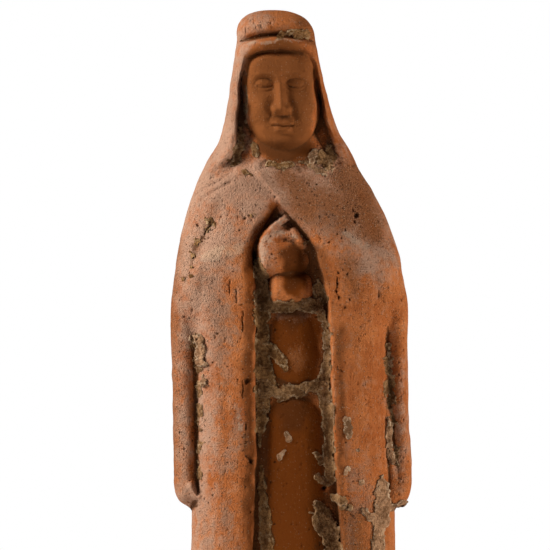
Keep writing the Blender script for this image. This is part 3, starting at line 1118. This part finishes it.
class Finish(Nodes):
    """The nodes of one material of the object."""

    def __init__(self, name):
        self.material = bpy.data.materials.new(name)
        self.material.use_nodes = True
        super().__init__(self.material.node_tree)
        self.place = self.add("TexCoord", {}, {}, "Object")

    def mark(self, name):
        """A number kept on the points of the mesh."""
        return self.add("Attribute", {"attribute_name": name}, {}, "Fac")

    def speckle(self, size, detail=3.0, stretch=(1.0, 1.0, 1.0), roughness=0.55):
        """Random pattern from 0 to 1 in grains of about that size, in millimetres."""
        scale = tuple(1000.0 / (size * s) for s in stretch)
        spread = self.add("VectorMath", {"operation": "MULTIPLY"}, {0: self.place, 1: scale})
        values = {"Vector": spread, "Scale": 1.0, "Detail": detail, "Roughness": roughness}
        return self.add("TexNoise", {}, values)

    def dots(self, size, share, seed=0.0):
        """Round grains of about that size, in millimetres, at that share of the places."""
        spread = self.add("VectorMath", {"operation": "MULTIPLY_ADD"},
                          {0: self.place, 1: (1000.0 / size,) * 3, 2: (seed,) * 3})
        cells = self.add("TexVoronoi", {}, {"Vector": spread, "Scale": 1.0}, "Distance")
        chosen = self.add("TexVoronoi", {}, {"Vector": spread, "Scale": 1.0}, "Color")
        picked = self.add("SeparateColor", {}, {"Color": chosen}, "Red")
        return self.ramp(cells, 0.42, 0.16) * self.ramp(picked, 1.0 - share, 1.04 - share)

    def ramp(self, amount, low, high):
        """0 below low, 1 above high, eased between."""
        settings = {"interpolation_type": "SMOOTHSTEP", "clamp": True}
        return self.add("MapRange", settings, {"Value": amount, "From Min": low, "From Max": high})

    def mix(self, amount, first, second):
        """Colour between two, by amount."""
        return self.add("Mix", {"data_type": "RGBA"}, {0: amount, 6: first, 7: second}, 2)

    def wash(self, under, amount, low, high, strength, colour):
        """A wash of colour over what is under it, where amount rises from low to high."""
        return self.mix(self.ramp(amount, low, high) * strength, under, colour)

    def surface(self, colour, roughness, rise, relief_height):
        """The shader, with its relief."""
        relief = self.add("Bump", {}, {"Height": rise, "Strength": 1.0, "Distance": relief_height})
        values = {"Base Color": colour, "Roughness": roughness, "Normal": relief, "Specular IOR Level": SHEEN}
        shader = self.add("BsdfPrincipled", {}, values)
        self.add("OutputMaterial", {}, {"Surface": shader})
        return self.material


def fired_clay():
    """Matt red clay with its films, soil, rubbed ridges and grit."""
    clay = Finish("fired_clay")
    broad, cloudy, mottle = clay.speckle(30.0), clay.speckle(9.0, 4.0), clay.speckle(2.2, 4.0)
    patchy = clay.speckle(5.0, 5.0, roughness=0.66)
    fine, grit = clay.speckle(0.6, 3.0), clay.speckle(0.36, 2.0)
    brushed = clay.speckle(1.0, 3.0, (1.0, 1.0, 16.0))
    clean, face_stain, film = clay.mark("clean"), clay.mark("face_stain"), clay.mark("film")
    drift = mottle + cloudy - 1.0
    crumbs = mottle + fine - 1.0
    colour = clay.mix(clay.ramp(broad * 0.5 + cloudy * 0.5, 0.36, 0.62), CLAY_DEEP, CLAY)
    colour = clay.wash(colour, mottle * 0.6 + brushed * 0.4, 0.42, 0.68, 0.45, CLAY_PEACH)
    colour = clay.wash(colour, patchy, 0.52, 0.70, 0.4, FILM_COLOUR)
    colour = clay.wash(colour, clean + drift * 0.5, 0.1, 0.9, 1.0, CLEAN_COLOUR)
    colour = clay.wash(colour, face_stain + drift * 0.9, 0.1, 1.0, 1.0, FACE_COLOUR)
    dust = clay.mark("dust") * 0.8 + (mottle + patchy + cloudy - 1.5) * 1.1 - clean - face_stain
    colour = clay.wash(colour, dust, 0.05, 0.95, 0.92, DUST_COLOUR)
    colour = clay.wash(colour, film + crumbs * 0.9, 0.1, 1.0, 0.85, FILM_COLOUR)
    haze = clay.mark("haze") + (mottle + patchy + fine - 1.5) * 1.6
    colour = clay.wash(colour, haze, 0.35, 1.25, 0.6, HAZE_COLOUR)
    colour = clay.wash(colour, clay.mark("pale") + crumbs * 1.3, 0.55, 0.95, 0.5 + clean * 0.35, PALE_COLOUR)
    rubbed = clay.mark("rubbed") * 0.8 + (mottle - 0.5) * 0.9
    colour = clay.wash(colour, rubbed, 0.30, 0.9, 0.45, RUBBED_COLOUR)
    colour = clay.wash(colour, clay.mark("damp") + drift * 0.7, 0.05, 1.0, 0.65, DAMP_COLOUR)
    soil = clay.mark("hollow") * 0.9 + clay.mark("fine_hollow") * 2.4 + clay.mark("soil") * 0.8
    settled = clay.ramp(soil + crumbs * 0.9, 0.4, 1.1)
    colour = clay.mix(settled * 0.85, colour, SOIL_COLOUR)
    rough = 0.6 - clean * 0.45 - face_stain * 0.35 + film * 0.4
    holes, grains_of_lime = clay.dots(0.8, 0.16), clay.dots(0.7, 0.22, 7.3)
    colour = clay.mix(holes * rough * clay.ramp(patchy, 0.40, 0.60), colour, GRIT_DARK)
    colour = clay.wash(colour, grit * 0.5 + fine * 0.5, 0.46, 0.66, rough * 0.5, GRIT_DARK)
    colour = clay.mix(grains_of_lime * 0.7 * rough, colour, GRIT_PALE)
    rise = grains_of_lime * 0.4 - holes * 0.5 - grit * 0.7 - fine * 0.7 + mottle * 0.3 + brushed * 0.1
    return clay.surface(colour, CLAY_ROUGHNESS + settled * 0.15, rise * rough, CLAY_RELIEF)


figure_mesh.materials.clear()
figure_mesh.materials.append(fired_clay())
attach(figure, "root")
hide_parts("attendant_figure")

# Burial earth
# Crusts of the soil that the figure lay in still cling in its folds, as thin hard plates and
# fills of silt and lime. They have no glue: they set on the clay in the ground.
CRUST_SPACING = 0.19
CRUST_MARGIN = 0.8
CRUST_ROOT = 0.55
CRUST_LIP = 0.3
CRUST_REACH = 2.2
BED_REACH = 5
CRUST_ROUGHNESS = 0.92
CRUST_RELIEF = 0.0010
CRUST_COLOURS = {
    "brown_earth": ((0.35, 0.190, 0.084, 1.0), (0.115, 0.052, 0.019, 1.0), (0.49, 0.33, 0.20, 1.0)),
    "pale_lime": ((0.42, 0.232, 0.124, 1.0), (0.16, 0.078, 0.036, 1.0), (0.64, 0.47, 0.31, 1.0)),
    "olive_silt": ((0.34, 0.175, 0.068, 1.0), (0.11, 0.047, 0.015, 1.0), (0.54, 0.38, 0.22, 1.0)),
}


def crust_finish(name):
    """Dry earth of three tones, coarse and crumbly."""
    middle, dark, light = CRUST_COLOURS[name]
    earth = Finish(name)
    crumb, fine, cloudy = earth.speckle(0.9, 4.0), earth.speckle(0.4, 3.0), earth.speckle(4.0, 3.0)
    shade = tuple(0.5 * c for c in dark[:3]) + (1.0,)
    colour = earth.mix(earth.ramp(cloudy * 0.6 + crumb * 0.4, 0.42, 0.60), dark, middle)
    colour = earth.wash(colour, earth.mark("rise") * 0.35 + fine * 0.6 + crumb * 0.5, 0.76, 1.02, 1.0, light)
    colour = earth.wash(colour, fine * 0.6 + crumb * 0.4, 0.53, 0.60, 0.8, dark)
    colour = earth.mix(earth.mark("deep") * 0.2, colour, shade)
    return earth.surface(colour, CRUST_ROUGHNESS, crumb * 0.7 - fine * 0.7, CRUST_RELIEF)


crust_materials = {name: crust_finish(name) for name in CRUST_COLOURS}


def crust(name, finish, strokes, thickness, ragged, fill, seed, knobbly=0.22, shoulder=0.55):
    """A closed crust of earth over the strokes, its ragged rim dipping into the clay."""
    points = np.array([point for stroke in strokes for point in stroke])
    low = (points[:, :2] - points[:, 2:3]).min(axis=0) - ragged - CRUST_MARGIN
    high = (points[:, :2] + points[:, 2:3]).max(axis=0) + ragged + CRUST_MARGIN
    steps = [np.arange(start, end, CRUST_SPACING) for start, end in zip(low, high)]
    across, height = np.meshgrid(*steps)
    near = flat_places(across, height, seed + 0.5)
    inside = cover(across, height, strokes)
    inside += ragged * grains(near, (0.75, 1.9, 51 + seed), (0.45, 0.8, 52 + seed), (0.2, 0.4, 53))
    lumps = grains(near, (0.6, 1.4, 54 + seed), (0.45, 0.65, 55 + seed), (0.3, 0.36, 56))

    close = inside > -CRUST_REACH
    clay_level = np.zeros(across.shape)
    clay_level[close] = front_depth(across[close], height[close])
    measured = soften(close.astype(float), BED_REACH, "edge")
    average = soften(clay_level, BED_REACH, "edge") / np.maximum(measured, 1e-6)
    bed = clay_level + fill * (average - clay_level)
    rise = thickness * rounded(inside, shoulder) + knobbly * lumps * blend(0.0, 0.5, inside)
    rim_level = clay_level + np.maximum(inside * 1.5, -0.5)
    top = np.where(inside > 0.0, np.maximum(bed, clay_level) + rise, rim_level)
    bottom = clay_level - CRUST_ROOT

    kept = inside > -CRUST_LIP
    cells = kept[:-1, :-1] & kept[:-1, 1:] & kept[1:, :-1] & kept[1:, 1:]
    index = np.arange(across.size).reshape(across.shape)
    cell_corners = (index[:-1, :-1], index[:-1, 1:], index[1:, 1:], index[1:, :-1])
    corners = np.stack([corner[cells] for corner in cell_corners], axis=-1)
    used, compact = np.unique(corners, return_inverse=True)
    upper = compact.reshape(corners.shape)
    lower = (upper + len(used))[:, ::-1]
    sides = np.concatenate([upper[:, [a, (a + 1) % 4]] for a in range(4)])
    key = np.sort(sides, axis=1)
    _, first_at, times = np.unique(key, axis=0, return_index=True, return_counts=True)
    rim = sides[first_at[times == 1]]
    walls = np.stack([rim[:, 1], rim[:, 0], rim[:, 0] + len(used), rim[:, 1] + len(used)], axis=-1)
    flat = np.stack([across.ravel()[used], height.ravel()[used]], axis=-1)
    deep = np.concatenate([top.ravel()[used], bottom.ravel()[used]])
    places = np.column_stack([np.tile(flat[:, 0], 2), -deep, np.tile(flat[:, 1], 2)])
    mesh = mesh_from(name, places, np.concatenate([upper, lower, walls]))

    note(mesh, "rise", np.tile((lumps * 0.5 + 0.5 + 0.3 * blend(1.2, 0.2, inside)).ravel()[used], 2))
    plain = plain_depth(across, height, FRONT_DEPTH, SLEEVE_FRONT)[0]
    sunk = plain - top - 3.4 + 1.5 * grain(near, 3.0, 57 + seed)
    note(mesh, "deep", np.tile(blend(0.0, 5.0, sunk).ravel()[used], 2))
    size = flat.max(axis=0) - flat.min(axis=0)
    layout = (flat - flat.min(axis=0)) / size.max() * 0.47
    lay_flat(mesh, np.concatenate([layout + 0.01, layout + [0.51, 0.01]])[corner_points(mesh)])
    mesh.materials.append(crust_materials[finish])
    piece = stand(name, mesh)
    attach(piece, "root")


crust("earth_on_crown_seam", "olive_silt", [
    [(-3.3, 232.8, 0.95), (0.2, 233.6, 1.27), (4.3, 233.1, 1.42)]
], thickness=0.5, ragged=1.0, fill=0.3, seed=1)
crust("lime_in_left_hood_fold", "pale_lime", [
    [(-14.5, 217.3, 0.38), (-14.1, 213.8, 0.51), (-14.4, 210.3, 0.63), (-14.2, 205.9, 0.38)]
], thickness=0.5, ragged=0.5, fill=0.5, seed=2)
crust("earth_at_neck", "olive_silt", [
    [(-11.8, 198.6, 0.95), (-11.2, 195.1, 0.95)], [(-17.9, 192.3, 1.01), (-16.3, 192.6, 0.63)],
    [(-7.1, 192.9, 0.79), (-3.6, 192.0, 1.01), (-0.4, 192.3, 0.7)],
    [(-14.4, 190.1, 0.63), (-12.5, 188.8, 0.7)]
], thickness=0.45, ragged=1.0, fill=0.4, seed=3)
crust("earth_in_left_hood_fold", "brown_earth", [
    [(-16.0, 204.0, 0.79), (-16.3, 199.6, 1.11), (-16.9, 195.1, 1.27), (-19.1, 193.2, 0.79)]
], thickness=0.4, ragged=1.3, fill=0.6, seed=4)
crust("earth_on_left_arm", "olive_silt", [
    [(-26.7, 174.9, 0.32), (-24.8, 173.9, 0.7), (-23.2, 172.4, 0.25)],
    [(-26.1, 171.7, 0.51), (-27.7, 169.8, 0.57), (-29.6, 167.6, 0.32)],
    [(-30.8, 165.4, 0.19), (-31.8, 163.5, 0.51)], [(-30.8, 161.0, 0.19)],
    [(-33.7, 156.5, 0.25), (-30.5, 157.2, 0.19)], [(-13.7, 176.8, 0.32), (-12.5, 175.5, 0.25)]
], thickness=0.4, ragged=2.2, fill=0.0, knobbly=0.5, seed=23)
crust("lime_on_right_collar", "pale_lime", [
    [(7.5, 196.7, 0.79), (6.2, 194.5, 1.11), (6.5, 192.0, 1.11), (8.4, 190.4, 1.01),
     (10.6, 189.8, 0.95), (12.5, 190.7, 0.63)]
], thickness=0.5, ragged=1.0, fill=0.4, knobbly=0.4, seed=5)
crust("earth_on_right_collar", "brown_earth", [
    [(9.1, 194.5, 1.74), (11.0, 192.6, 1.9)], [(11.6, 197.7, 1.11), (13.2, 194.5, 1.27)],
    [(3.7, 192.9, 0.79), (5.9, 192.0, 0.79)]
], thickness=0.55, ragged=1.3, fill=0.6, knobbly=0.6, seed=6)
crust("earth_left_of_hands", "brown_earth", [
    [(-10.3, 161.6, 1.27), (-9.6, 157.5, 1.9), (-9.3, 152.1, 2.22), (-8.7, 148.0, 2.53)]
], thickness=0.5, ragged=1.0, fill=0.8, seed=8)
crust("earth_right_of_hands", "brown_earth", [
    [(2.7, 170.5, 0.32), (4.3, 167.6, 0.32)], [(7.8, 157.2, 0.63), (8.4, 154.0, 1.42), (8.4, 149.6, 2.53)]
], thickness=0.45, ragged=1.5, fill=0.5, knobbly=0.4, seed=9)
crust("earth_under_hands", "brown_earth", [
    [(-9.3, 148.3, 2.22), (-5.2, 147.7, 1.74), (-0.4, 147.4, 1.74), (4.3, 147.7, 1.74),
     (7.8, 148.0, 2.22)]
], thickness=0.8, ragged=1.1, fill=0.8, knobbly=0.3, seed=11)
crust("silt_down_left_wall", "olive_silt", [
    [(-9.3, 145.8, 2.37), (-9.3, 140.1, 2.06), (-9.3, 135.3, 2.37), (-8.7, 129.0, 2.85),
     (-8.0, 123.6, 3.17)],
    [(-6.8, 134.4, 2.22), (-3.9, 131.2, 1.9), (-2.0, 128.7, 1.27)],
    [(-9.3, 122.7, 2.22), (-9.3, 114.8, 2.37), (-9.3, 110.0, 2.06)]
], thickness=0.6, ragged=1.1, fill=0.6, knobbly=0.2, seed=12)
crust("earth_under_belly", "brown_earth", [
    [(-8.0, 121.7, 2.85), (-4.2, 120.4, 2.22), (0.2, 121.1, 2.06), (4.6, 122.0, 1.58), (8.4, 123.0, 1.9)]
], thickness=0.8, ragged=1.2, fill=0.8, knobbly=0.35, seed=13)
crust("earth_down_right_wall", "brown_earth", [
    [(9.4, 145.8, 1.27), (11.0, 140.1, 1.27), (11.3, 133.7, 1.27), (10.6, 128.0, 1.74),
     (9.7, 123.0, 2.22), (11.0, 116.3, 2.06), (11.6, 108.4, 1.74), (11.6, 100.5, 2.06),
     (12.2, 93.2, 1.9)],
    [(7.8, 101.5, 0.95), (9.4, 98.9, 1.27)], [(8.4, 94.2, 1.11), (10.6, 92.6, 1.27)]
], thickness=0.5, ragged=0.9, fill=0.7, knobbly=0.2, seed=14)
crust("silt_down_lower_left", "olive_silt", [
    [(-10.1, 109.1, 0.57), (-10.1, 103.7, 0.57)],
    [(-9.6, 97.3, 0.79), (-9.3, 91.0, 1.27), (-8.7, 83.1, 1.74), (-8.0, 75.2, 2.22), (-7.7, 67.3, 2.37)]
], thickness=0.5, ragged=0.7, fill=0.5, knobbly=0.2, seed=15)
crust("earth_at_lower_right", "brown_earth", [
    [(8.4, 84.4, 1.9), (9.7, 80.9, 3.64), (11.9, 76.5, 3.32), (13.8, 69.8, 2.53)],
    [(13.5, 87.8, 1.58), (16.0, 86.0, 1.58), (17.9, 84.7, 0.79)], [(5.6, 82.8, 0.57), (7.8, 82.8, 0.95)]
], thickness=0.8, ragged=1.3, fill=0.6, knobbly=0.35, seed=16)
crust("earth_in_left_fold", "brown_earth", [
    [(-30.5, 137.5, 0.63), (-29.9, 133.7, 0.82), (-29.4, 126.8, 0.63)],
    [(-29.2, 123.0, 0.51), (-29.1, 113.2, 0.63), (-29.2, 101.5, 0.44)],
    [(-29.2, 98.3, 0.51), (-29.2, 93.9, 0.51)]
], thickness=0.3, ragged=2.0, fill=0.5, knobbly=0.6, seed=17)
crust("lime_in_left_fold", "pale_lime", [
    [(-30.5, 137.9, 0.79), (-29.1, 136.3, 1.58), (-28.6, 134.4, 1.39)],
    [(-28.8, 131.2, 1.71), (-28.3, 129.3, 1.27)], [(-28.0, 125.5, 0.63), (-28.0, 123.0, 1.01)]
], thickness=1.2, ragged=1.6, fill=0.6, knobbly=1.0, shoulder=1.5, seed=18)
crust("earth_in_right_fold", "brown_earth", [
    [(30.4, 135.3, 0.7), (30.7, 126.8, 1.08), (31.0, 117.9, 1.01), (31.7, 111.6, 0.76)],
    [(33.1, 103.7, 0.44), (33.4, 98.3, 0.44)]
], thickness=0.3, ragged=2.0, fill=0.5, knobbly=0.6, seed=19)
crust("lime_in_right_fold", "pale_lime", [
    [(30.3, 112.2, 0.7), (30.9, 108.4, 1.08), (30.9, 103.7, 1.33), (31.5, 100.5, 1.08),
     (31.8, 98.6, 0.57)],
    [(30.6, 133.1, 0.38), (31.2, 129.3, 0.63)]
], thickness=0.6, ragged=0.9, fill=0.4, knobbly=0.3, seed=20)
crust("lime_on_lower_right", "pale_lime", [
    [(28.4, 92.3, 1.9), (28.4, 89.1, 2.22), (28.7, 84.7, 3.01), (28.0, 80.6, 2.85), (27.4, 76.8, 2.37),
     (27.1, 68.5, 1.9)],
    [(22.7, 83.4, 0.95), (25.2, 81.8, 1.74)], [(31.8, 84.1, 1.42), (35.3, 86.0, 0.95)]
], thickness=0.7, ragged=1.2, fill=0.4, knobbly=0.4, seed=21)
crust("flecks_of_lime", "pale_lime", [
    [(17.0, 112.2, 1.08), (17.7, 109.5, 1.71), (18.4, 107.2, 1.08)],
    [(-1.6, 107.8, 0.51), (-0.8, 105.9, 0.7)], [(-3.9, 100.5, 0.89), (-2.3, 102.4, 0.57)],
    [(17.6, 97.0, 0.7), (16.8, 95.1, 0.82)], [(22.0, 92.0, 0.95)], [(21.1, 102.7, 0.44)],
    [(7.2, 86.0, 0.63)], [(10.0, 83.7, 0.76)], [(-0.4, 143.2, 0.32)]
], thickness=0.45, ragged=0.7, fill=0.0, knobbly=0.12, seed=22)
